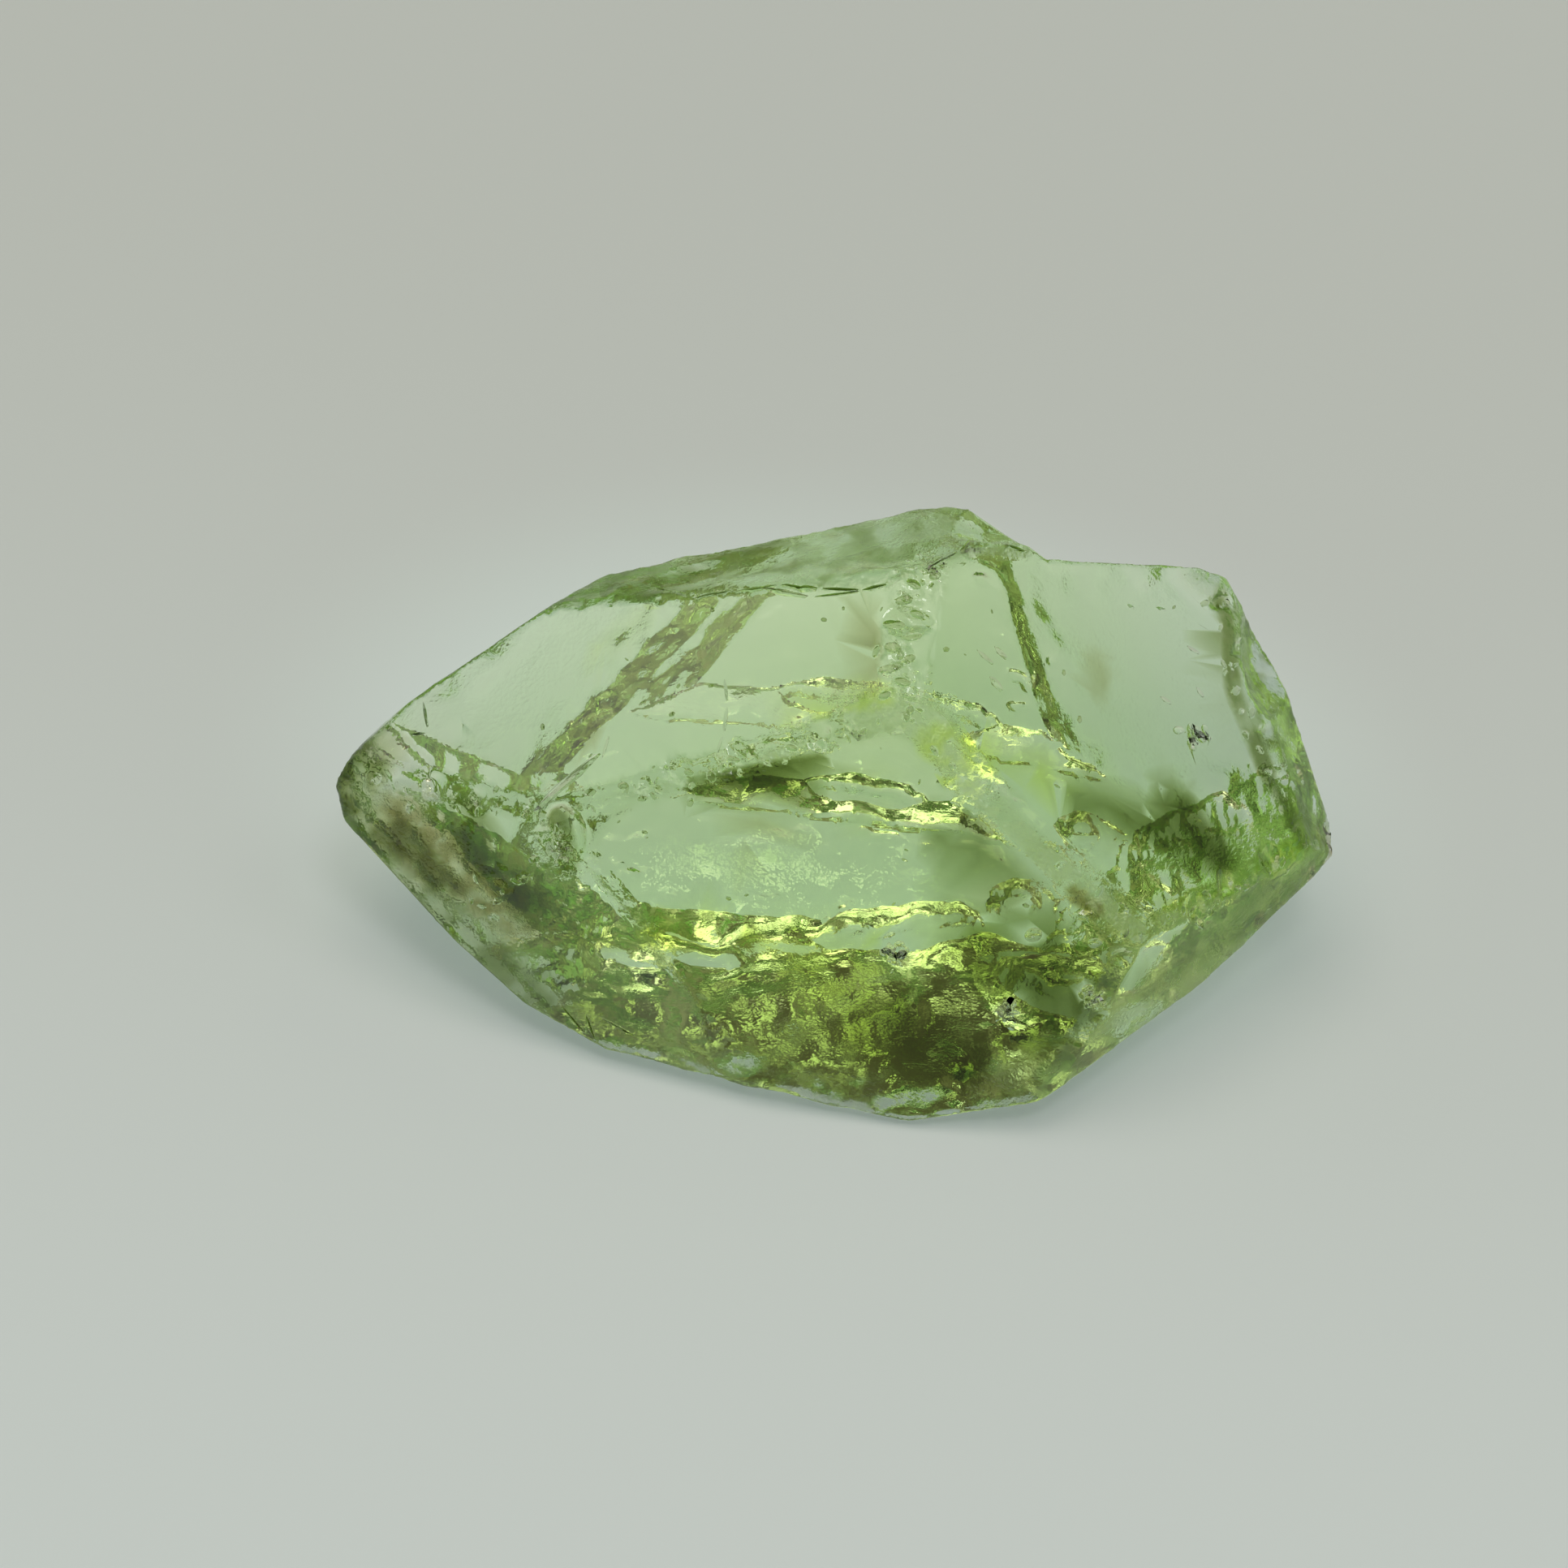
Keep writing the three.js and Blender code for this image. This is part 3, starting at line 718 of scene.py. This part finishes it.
class MESH_OT_tourmaline_stone(bpy.types.Operator):
    """Remake the stone's surface finely and wear its ridges and broken faces"""

    bl_idname = "mesh.tourmaline_stone"
    bl_label = "Ground and worn stone"
    bl_options = {"REGISTER", "UNDO"}

    def execute(self, context):
        looks = context.scene.stone_settings
        stone = copy_of_node(NODE, "stone", TO_MM)
        edges = sharp_lines(stone, "edges", SHARP)
        flats = copy_of_node(NODE, "flats", TO_MM)
        worn = {
            name: ([touch(flats, *pixel)[0] for pixel in pixels], reach, frost, crumbs)
            for name, (pixels, reach, frost, crumbs) in RIDGES.items()
        }
        self.remake(stone, flats, looks)
        self.wear(stone, flats, edges, worn, looks)
        self.thin(stone, looks)
        self.mark(stone, flats)
        for spent in (edges, flats):
            bpy.data.objects.remove(spent)

        only(stone)
        stone.data.transform(Matrix.Scale(MM, 4))
        bpy.ops.object.shade_smooth_by_angle(angle=SMOOTH_ANGLE)
        stone.data.materials.append(tourmaline_material(looks))
        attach(stone, "root")
        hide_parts(NODE)
        return {"FINISHED"}

    def remake(self, stone, flats, looks):
        """Gives the stone an even, fine mesh that lies exactly on its flats."""
        remesh = stone.modifiers.new("grain", "REMESH")
        remesh.mode = "VOXEL"
        remesh.voxel_size = looks.grain * TO_MM
        remesh.use_smooth_shade = True
        apply(stone, remesh)
        settle = stone.modifiers.new("settle", "SHRINKWRAP")
        settle.target = flats
        settle.wrap_method = "NEAREST_SURFACEPOINT"
        apply(stone, settle)

    def wear(self, stone, flats, edges, worn, looks):
        """Masks the worn places, roughens them, and keeps the masks for the material."""
        behind = ease(-(facings(stone) @ np.array(view_axes()[2])), *BACK)
        back_edges = nearness(stone, edges, looks.back_waves * BACK_REACH * TO_MM) * behind
        keep_mask(stone, "back edges mask", back_edges)
        keep_mask(stone, "flaked edges mask", back_edges * ease(positions(stone)[:, 0], *FLAKES_START))
        keep_mask(stone, "edges mask", nearness(stone, edges, looks.rounding * TO_MM))
        waves, flakes = clouds("back waves", BACK_WAVES, 1), clouds("back flakes", BACK_FLAKES, 2)
        roughen(stone, "back waves", waves, looks.back_waves * TO_MM, "back edges mask")
        roughen(stone, "back flakes", flakes, looks.back_flakes * TO_MM, "flaked edges mask")
        soften(stone, "rounding", "edges mask", ROUNDING_STEPS)

        places, normals = positions(stone), facings(stone)
        near = nearness(stone, edges, looks.edge_wear * TO_MM)
        vectors = [Vector(place) for place in places.tolist()]
        cloud = {name: uneven(vectors, *values) for name, values in CLOUDS.items()}
        ridge = near * EDGE_FROST * cloud["wear"]
        crumbly = near * EDGE_CRUMBS * cloud["wear"]
        for points, reach, frost, crumbs in worn.values():
            close = near_path(places, points, reach)
            ridge = np.maximum(ridge, close * frost)
            crumbly = np.maximum(crumbly, close * crumbs / 2)
        brow = mask_facing(normals, BROW_FACING, *BROW_SPREAD)
        flank = mask_facing(normals, FLANK_FACING, *FLANK_SPREAD)
        under = ease(-normals[:, 2], *UNDERSIDE)
        frosted = (ridge, brow * BROW_FROST, flank * FLANK_FROST * cloud["wear"])
        frost = np.maximum.reduce([*frosted, under * UNDER_FROST, behind * BACK_FROST])
        # The deep green film: darkening of broken faces and ridges, and painted shade at the listed
        # places.
        broken = np.maximum(brow * cloud["brow moss"], flank * cloud["flank moss"]) * BROKEN_DARKENING
        moss = np.maximum.reduce([broken, self.painted(places, flats, PAINTED_SHADE), ridge * RIDGE_DARKENING])
        rust = np.maximum(brow * cloud["brow rust"] * BROW_RUST, self.painted(places, flats, RUST))
        keep_mask(stone, "crumbly mask", crumbly)
        keep_mask(stone, "broken mask", np.maximum(brow, flank * FLANK_FLAKES))
        keep_mask(stone, "under mask", under)
        keep_mask(stone, "all mask", np.ones(len(places)))
        keep_attribute(stone, "wear", frost * (LEAST_FROST + FROST_SPREAD * cloud["frost"]))
        keep_attribute(stone, "moss", moss * (LEAST_STAIN + STAIN_SPREAD * cloud["moss"]))
        keep_attribute(stone, "rust", rust * (LEAST_STAIN + STAIN_SPREAD * cloud["rust"]))
        # Painted light: bright green bands where light would run a long way inside.
        keep_attribute(stone, "painted_light", self.painted(places, flats, PAINTED_LIGHT) * cloud["painted_light"])
        self.crumble(stone, looks)

    def crumble(self, stone, looks):
        """Roughens the polished, broken, lower and worn places, each in its own way."""
        flake, crumb = looks.flake_depth * TO_MM, looks.crumb_depth * TO_MM
        roughen(stone, "polish", clouds("polish", POLISH, 1), POLISH_DEPTH, "all mask")
        roughen(stone, "brow flakes", shells("brow flakes", FLAKES), flake, "broken mask")
        roughen(stone, "brow grain", clouds("brow grain", GRAIN, 2), crumb * GRAIN_SHARE, "broken mask")
        hollows, dents = clouds("hollows", HOLLOWS, 1), clouds("dents", DENTS, 1)
        roughen(stone, "hollows", hollows, HOLLOW_DEPTH, "under mask", 1.0, HOLLOW_STRETCH)
        roughen(stone, "dents", dents, DENT_DEPTH, "under mask", 1.0, DENT_STRETCH)
        roughen(stone, "crumbs", clouds("crumbs", CRUMBS, 2), crumb * 2, "crumbly mask")

    def painted(self, places, flats, spots):
        """How strongly each place is coloured by the spots of one list; the lists are the painted shade,
        the rust and the painted light.
        """
        total = np.zeros(len(places))
        for pixels, reach, strength in spots.values():
            points = [touch(flats, *pixel)[0] for pixel in pixels]
            total = np.maximum(total, near_path(places, points, reach) * strength)
        return total

    def mark(self, stone, flats):
        """Cuts the scratches, cracks, chips, pits and specks into the stone."""
        chance = random.Random(11)
        shards = []
        for cuts, colour in ((MARKS, {"wear": MARK_WEAR}), (CRACKS, {"moss": CRACK_DARKENING})):
            for ends, *size in cuts:
                shards.append(shard(*[touch(flats, *pixel) for pixel in ends], *size, **colour))
        for x, y in GLITTER:
            for _ in range(GLITTER_CHIPS):
                place = [value + chance.gauss(0, CHIP_STRAY) for value in (x, y)]
                shards.append(self.chip(flats, chance, *place, GLITTER_LENGTH, 2))
        for name, count in CHIPS.items():
            pixels = RIDGES[name][0]
            for _ in range(count):
                start, end = chance.choice(list(zip(pixels, pixels[1:])))
                share = chance.random()
                x, y = [a + (b - a) * share + chance.gauss(0, CHIP_STRAY) for a, b in zip(start, end)]
                shards.append(self.chip(flats, chance, x, y, CHIP_LENGTH, moss=CHIP_DARKENING))
        for _ in range(SPECKS):
            x, y = chance.uniform(*SPECK_FIELD[::2]), chance.uniform(*SPECK_FIELD[1::2])
            shards.append(self.chip(flats, chance, x, y, SPECK_LENGTH, moss=SPECK_DARKENING))
        for middle, length, width, depth, turn in PITS:
            place, normal = touch(flats, *middle)
            length, width, depth = [a * gain for a, gain in zip((length, width, depth), PIT_GAINS)]
            turn = math.radians(turn)
            aim = from_view((math.cos(turn), math.sin(turn), 0)) * length
            aim -= normal * aim.dot(normal)
            ends = (place - aim, normal), (place + aim, normal)
            shards.append(shard(*ends, width, depth, 3, moss=PIT_DARKENING))
        bpy.ops.object.select_all(action="DESELECT")
        for piece in shards:
            piece.select_set(True)
        bpy.context.view_layer.objects.active = shards[0]
        bpy.ops.object.join()
        cutter = bpy.context.active_object
        cut = stone.modifiers.new("marks", "BOOLEAN")
        cut.operation = "DIFFERENCE"
        cut.solver = "FAST"
        cut.object = cutter
        apply(stone, cut)
        bpy.data.objects.remove(cutter)

    def chip(self, flats, chance, x, y, lengths, roundness=1, **looks):
        """One small shard of a random size and direction at a pixel."""
        place, normal = touch(flats, x, y)
        aim = Vector([chance.uniform(-1, 1) for _ in range(3)]).cross(normal).normalized()
        length = chance.uniform(*lengths)
        width = length * chance.uniform(0.3, 0.8)
        depth = width * chance.uniform(0.3, 0.6)
        return shard((place, normal), (place + aim * length, normal), width, depth, roundness, **looks)

    def thin(self, stone, looks):
        """Takes triangles away where the surface is flat, down to the set number."""
        stone.data.calc_loop_triangles()
        have = len(stone.data.loop_triangles)
        thinner = stone.modifiers.new("thin", "DECIMATE")
        thinner.ratio = min(1.0, looks.triangles / have)
        apply(stone, thinner)


# Materials


def node(tree, kind, at, **values):
    """A shader node at a place in the tree, with its inputs set by name."""
    made = tree.nodes.new(kind)
    made.location = at
    for name, value in values.items():
        setattr(made, name, value)
    return made


def wear_group():
    """A group that turns wear into roughness and a fine height."""
    group = bpy.data.node_groups.new("Worn glass", "ShaderNodeTree")
    side = group.interface
    side.new_socket("Wear", in_out="INPUT", socket_type="NodeSocketFloat")
    side.new_socket("Grain per mm", in_out="INPUT", socket_type="NodeSocketFloat").default_value = 14
    side.new_socket("Polished", in_out="INPUT", socket_type="NodeSocketFloat").default_value = 0.01
    side.new_socket("Frosted", in_out="INPUT", socket_type="NodeSocketFloat").default_value = 0.5
    side.new_socket("Roughness", in_out="OUTPUT", socket_type="NodeSocketFloat")
    side.new_socket("Height", in_out="OUTPUT", socket_type="NodeSocketFloat")
    start = node(group, "NodeGroupInput", (-900, 0))
    end = node(group, "NodeGroupOutput", (500, 0))
    place = node(group, "ShaderNodeTexCoord", (-900, -300))
    scale = node(group, "ShaderNodeMapping", (-700, -300))
    scale.inputs["Scale"].default_value = (TO_MM, TO_MM, TO_MM)
    grain = node(group, "ShaderNodeTexNoise", (-450, -300))
    grain.inputs["Detail"].default_value = 1
    rough = node(group, "ShaderNodeMapRange", (240, 100))
    high = node(group, "ShaderNodeMath", (240, -200), operation="MULTIPLY")
    link = group.links.new
    link(place.outputs["Object"], scale.inputs["Vector"])
    link(scale.outputs["Vector"], grain.inputs["Vector"])
    link(start.outputs["Grain per mm"], grain.inputs["Scale"])
    link(start.outputs["Wear"], rough.inputs["Value"])
    link(start.outputs["Polished"], rough.inputs["To Min"])
    link(start.outputs["Frosted"], rough.inputs["To Max"])
    link(start.outputs["Wear"], high.inputs[0])
    link(grain.outputs["Fac"], high.inputs[1])
    link(rough.outputs["Result"], end.inputs["Roughness"])
    link(high.outputs["Value"], end.inputs["Height"])
    return group


def tint_film_group():
    """A group that lays a film over a clear ground: rust stain, painted shade or painted light.

    The tint is the share of light that one film lets through, and tinted is
    how many films lie there.
    """
    group = bpy.data.node_groups.new("Stained glass", "ShaderNodeTree")
    side = group.interface
    side.new_socket("Tinted", in_out="INPUT", socket_type="NodeSocketFloat")
    side.new_socket("Clear", in_out="INPUT", socket_type="NodeSocketColor").default_value = (1, 1, 1, 1)
    side.new_socket("Stain", in_out="INPUT", socket_type="NodeSocketColor")
    side.new_socket("Colour", in_out="OUTPUT", socket_type="NodeSocketColor")
    start = node(group, "NodeGroupInput", (-500, 0))
    end = node(group, "NodeGroupOutput", (300, 0))
    film = node(group, "ShaderNodeGamma", (-200, -60))
    mix = node(group, "ShaderNodeVectorMath", (60, 0), operation="MULTIPLY")
    link = group.links.new
    link(start.outputs["Stain"], film.inputs["Color"])
    link(start.outputs["Tinted"], film.inputs["Gamma"])
    link(start.outputs["Clear"], mix.inputs[0])
    link(film.outputs["Color"], mix.inputs[1])
    link(mix.outputs["Vector"], end.inputs["Colour"])
    return group


def tourmaline_material(looks):
    """Clear tourmaline: its colour comes from absorption inside it, with rust stain, painted shade and
    painted light laid over it as films.
    """
    material = bpy.data.materials.new("tourmaline")
    material.use_nodes = True
    tree = material.node_tree
    surface = tree.nodes["Principled BSDF"]
    surface.inputs["Base Color"].default_value = (1, 1, 1, 1)
    surface.inputs["Transmission Weight"].default_value = 1
    surface.inputs["IOR"].default_value = looks.refraction
    inside = node(tree, "ShaderNodeVolumeAbsorption", (0, -500))
    densest = max(looks.absorption) / 0.9
    inside.inputs["Color"].default_value = (*[1 - share / densest for share in looks.absorption], 1)
    inside.inputs["Density"].default_value = densest
    wear = node(tree, "ShaderNodeAttribute", (-800, 0), attribute_name="wear")
    # Readers of the deep green film of stain and painted shade, of the rust, and of the bright green film
    # of painted light.
    mossy = node(tree, "ShaderNodeAttribute", (-1100, 250), attribute_name="moss")
    rusty = node(tree, "ShaderNodeAttribute", (-800, 250), attribute_name="rust")
    painted_light_fac = node(tree, "ShaderNodeAttribute", (-500, 250), attribute_name="painted_light")
    worn = node(tree, "ShaderNodeGroup", (-500, 0), node_tree=wear_group())
    tint_films = tint_film_group()
    # Deep green film: stain and painted shade.
    moss = node(tree, "ShaderNodeGroup", (-800, 400), node_tree=tint_films)
    moss.inputs["Stain"].default_value = looks.moss
    rust = node(tree, "ShaderNodeGroup", (-500, 400), node_tree=tint_films)
    rust.inputs["Stain"].default_value = looks.rust
    # Bright green film: painted light.
    painted_light = node(tree, "ShaderNodeGroup", (-200, 400), node_tree=tint_films)
    painted_light.inputs["Stain"].default_value = looks.painted_light
    bump = node(tree, "ShaderNodeBump", (-250, -200))
    bump.inputs["Strength"].default_value = 0.8
    bump.inputs["Distance"].default_value = 0.025 * MM
    worn.inputs["Grain per mm"].default_value = 18
    worn.inputs["Polished"].default_value = 0.008
    worn.inputs["Frosted"].default_value = 0.42
    link = tree.links.new
    link(wear.outputs["Fac"], worn.inputs["Wear"])
    link(mossy.outputs["Fac"], moss.inputs["Tinted"])
    link(moss.outputs["Colour"], rust.inputs["Clear"])
    link(rusty.outputs["Fac"], rust.inputs["Tinted"])
    link(painted_light_fac.outputs["Fac"], painted_light.inputs["Tinted"])
    link(rust.outputs["Colour"], painted_light.inputs["Clear"])
    link(painted_light.outputs["Colour"], surface.inputs["Base Color"])
    link(worn.outputs["Roughness"], surface.inputs["Roughness"])
    link(worn.outputs["Height"], bump.inputs["Height"])
    link(bump.outputs["Normal"], surface.inputs["Normal"])
    link(inside.outputs["Volume"], tree.nodes["Material Output"].inputs["Volume"])
    return material


# The middle of the painted pool of light under the stone, which fills the stone's shadow, how far it
# reaches, how much the glow gains in front and loses at the back, and where it does.
POOL_AT = Vector((0, 2.5 * MM, 0))
POOL_REACH = Vector((9 * MM, 6.5 * MM, 1))
FRONT_AND_BACK = (-15 * MM, 15 * MM)
FRONT_GAIN, BACK_GAIN = 1.28, 0.66


def floor_material(colour, glow, painted_light_pool):
    """Pale matt card on a light table, with a painted pool of light right under the stone that fills its
    shadow.
    """
    material = bpy.data.materials.new("pale card")
    material.use_nodes = True
    material.cycles.emission_sampling = "NONE"
    tree = material.node_tree
    surface = tree.nodes["Principled BSDF"]
    surface.inputs["Base Color"].default_value = colour
    surface.inputs["Roughness"].default_value = 0.85
    place = node(tree, "ShaderNodeTexCoord", (-1200, -300))
    fit = node(tree, "ShaderNodeMapping", (-1000, -300), vector_type="TEXTURE")
    fit.inputs["Location"].default_value = POOL_AT
    fit.inputs["Scale"].default_value = POOL_REACH
    away = node(tree, "ShaderNodeVectorMath", (-800, -300), operation="LENGTH")
    fade = node(tree, "ShaderNodeMapRange", (-600, -300), interpolation_type="SMOOTHSTEP")
    fade.data_type = "FLOAT_VECTOR"
    fade.inputs["From Min"].default_value = (0.3, 0.3, 0.3)
    fade.inputs["To Min"].default_value = painted_light_pool
    fade.inputs["To Max"].default_value = glow
    split = node(tree, "ShaderNodeSeparateXYZ", (-1000, -600))
    fall = node(tree, "ShaderNodeMapRange", (-600, -600), interpolation_type="SMOOTHSTEP")
    fall.inputs["From Min"].default_value, fall.inputs["From Max"].default_value = FRONT_AND_BACK
    fall.inputs["To Min"].default_value = FRONT_GAIN
    fall.inputs["To Max"].default_value = BACK_GAIN
    link = tree.links.new
    link(place.outputs["Object"], fit.inputs["Vector"])
    link(place.outputs["Object"], split.inputs["Vector"])
    link(fit.outputs["Vector"], away.inputs[0])
    link(away.outputs["Value"], fade.inputs["Vector"])
    link(split.outputs["Y"], fall.inputs["Value"])
    link(fade.outputs["Vector"], surface.inputs["Emission Color"])
    link(fall.outputs["Result"], surface.inputs["Emission Strength"])
    return material


# The stage

# Soft patches of the room, which the stone's inner faces mirror: the way to
# each, how far its core and its edge reach from there in degrees, and how much
# red, green and blue it adds to the sky or takes from it.
PATCHES = {
    "screen": ((-0.02, 0.7, 0.71), 22, 42, (-0.18, -0.155, -0.13)),
    "ceiling": ((-0.2, 0.1, 0.97), 10, 30, (1.9, 1.8, 1.55)),
    "right window": ((0.5, -0.1, 0.86), 5, 14, (0.8, 0.8, 0.8)),
    "back window": ((0.24, 0.63, 0.74), 4, 10, (0.75, 0.84, 0.4)),
    "left wall": ((-0.95, 0.25, 0.2), 12, 30, (0.4, 0.4, 0.36)),
    "lamp": ((0.1, -0.35, 0.93), 5, 9, (7, 7, 7)),
}


def patch_group():
    """A group that gives a soft round patch in one direction of the room."""
    group = bpy.data.node_groups.new("Soft patch", "ShaderNodeTree")
    side = group.interface
    side.new_socket("Looking", in_out="INPUT", socket_type="NodeSocketVector")
    side.new_socket("Towards", in_out="INPUT", socket_type="NodeSocketVector")
    side.new_socket("Core", in_out="INPUT", socket_type="NodeSocketFloat")
    side.new_socket("Edge", in_out="INPUT", socket_type="NodeSocketFloat")
    side.new_socket("Light", in_out="INPUT", socket_type="NodeSocketVector")
    side.new_socket("Before", in_out="INPUT", socket_type="NodeSocketVector")
    side.new_socket("After", in_out="OUTPUT", socket_type="NodeSocketVector")
    start = node(group, "NodeGroupInput", (-600, 0))
    end = node(group, "NodeGroupOutput", (400, 0))
    towards = node(group, "ShaderNodeVectorMath", (-400, 0), operation="DOT_PRODUCT")
    fall = node(group, "ShaderNodeMapRange", (-200, 0), interpolation_type="SMOOTHSTEP")
    total = node(group, "ShaderNodeVectorMath", (100, 0), operation="MULTIPLY_ADD")
    link = group.links.new
    link(start.outputs["Looking"], towards.inputs[0])
    link(start.outputs["Towards"], towards.inputs[1])
    link(towards.outputs["Value"], fall.inputs["Value"])
    link(start.outputs["Edge"], fall.inputs["From Min"])
    link(start.outputs["Core"], fall.inputs["From Max"])
    link(fall.outputs["Result"], total.inputs[0])
    link(start.outputs["Light"], total.inputs[1])
    link(start.outputs["Before"], total.inputs[2])
    link(total.outputs["Vector"], end.inputs["After"])
    return group


def soft_room(stage):
    """Even light from all round, with a few soft patches."""
    world = bpy.data.worlds.new("room")
    world.use_nodes = True
    tree = world.node_tree
    sky = tree.nodes["Background"]
    looking = node(tree, "ShaderNodeTexCoord", (-900, 0))
    even = node(tree, "ShaderNodeCombineXYZ", (-900, -300))
    for channel, strength in zip(even.inputs, stage.sky):
        channel.default_value = strength
    light = even.outputs["Vector"]
    group = patch_group()
    for step, (towards, core, edge, colour) in enumerate(PATCHES.values()):
        patch = node(tree, "ShaderNodeGroup", (-700 + 200 * step, 0), node_tree=group)
        patch.inputs["Towards"].default_value = Vector(towards).normalized()
        patch.inputs["Core"].default_value = math.cos(math.radians(core))
        patch.inputs["Edge"].default_value = math.cos(math.radians(edge))
        patch.inputs["Light"].default_value = colour
        tree.links.new(looking.outputs["Generated"], patch.inputs["Looking"])
        tree.links.new(light, patch.inputs["Before"])
        light = patch.outputs["After"]
    tree.links.new(light, sky.inputs["Color"])
    return world


class SCENE_OT_tourmaline_stage(bpy.types.Operator):
    """Lay the floor, light the room and aim the camera as in the photograph"""

    bl_idname = "scene.tourmaline_stage"
    bl_label = "Floor, light and camera"
    bl_options = {"REGISTER", "UNDO"}

    def execute(self, context):
        stage = context.scene.stage_settings
        gap = 0.05 * MM
        bpy.ops.mesh.primitive_plane_add(size=stage.floor_width, location=(0, 0, -gap))
        floor = context.active_object
        floor.name = "floor"
        floor.data.materials.append(floor_material(stage.floor_colour, stage.floor_glow, stage.painted_light_pool))
        floor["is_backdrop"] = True

        context.scene.world = soft_room(stage)
        context.scene.view_settings.view_transform = "Standard"
        self.aim_camera(context.scene, stage)
        return {"FINISHED"}

    def aim_camera(self, scene, stage):
        """Puts the stone where the photograph has it, at the same size."""
        right, up, back = view_axes()
        across, upward = seen_at(PHOTO_PIXELS / 2, PHOTO_PIXELS / 2)
        depth = back.dot(Vector((0, 0, 0.5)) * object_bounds()[1][2] * TO_MM)
        looked_at = (right * across + up * upward + back * depth) * MM
        lens = bpy.data.cameras.new("camera")
        camera = bpy.data.objects.new("camera", lens)
        scene.collection.objects.link(camera)
        place = looked_at + back * stage.camera_distance
        turn = Matrix((right, up, back)).transposed().to_4x4()
        camera.matrix_world = Matrix.Translation(place) @ turn
        lens.clip_start = 0.001
        lens.sensor_width = 36
        lens.lens = lens.sensor_width * stage.camera_distance / (PHOTO_PIXELS / PIXELS_PER_MM * MM)
        scene.camera = camera


# The panel


class VIEW3D_PT_tourmaline(bpy.types.Panel):
    """Lists the stone's and the stage's settings"""

    bl_idname = "VIEW3D_PT_tourmaline"
    bl_label = "Tourmaline"
    bl_space_type = "VIEW_3D"
    bl_region_type = "UI"
    bl_category = "Tourmaline"

    def draw(self, context):
        for operator, settings in OPERATORS:
            box = self.layout.box()
            box.operator(operator.bl_idname)
            group = getattr(context.scene, settings)
            for name in group.__annotations__:
                box.prop(group, name)


OPERATORS = (
    (MESH_OT_tourmaline_stone, "stone_settings"),
    (SCENE_OT_tourmaline_stage, "stage_settings"),
)
CLASSES = (
    StoneSettings,
    StageSettings,
    MESH_OT_tourmaline_stone,
    SCENE_OT_tourmaline_stage,
    VIEW3D_PT_tourmaline,
)


def register():
    """Adds the settings, the operators and the panel."""
    for kind in CLASSES:
        bpy.utils.register_class(kind)
    bpy.types.Scene.stone_settings = bpy.props.PointerProperty(type=StoneSettings)
    bpy.types.Scene.stage_settings = bpy.props.PointerProperty(type=StageSettings)


def unregister():
    """Takes them away again."""
    del bpy.types.Scene.stage_settings
    del bpy.types.Scene.stone_settings
    for kind in reversed(CLASSES):
        bpy.utils.unregister_class(kind)


def corners(box):
    """A box as plain lists of numbers."""
    return [[float(x) for x in corner] for corner in box]


def main():
    """Makes the stone and its stage."""
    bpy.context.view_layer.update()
    register()
    bpy.ops.mesh.tourmaline_stone()
    bpy.ops.scene.tourmaline_stage()


if __name__ == "__main__":
    main()
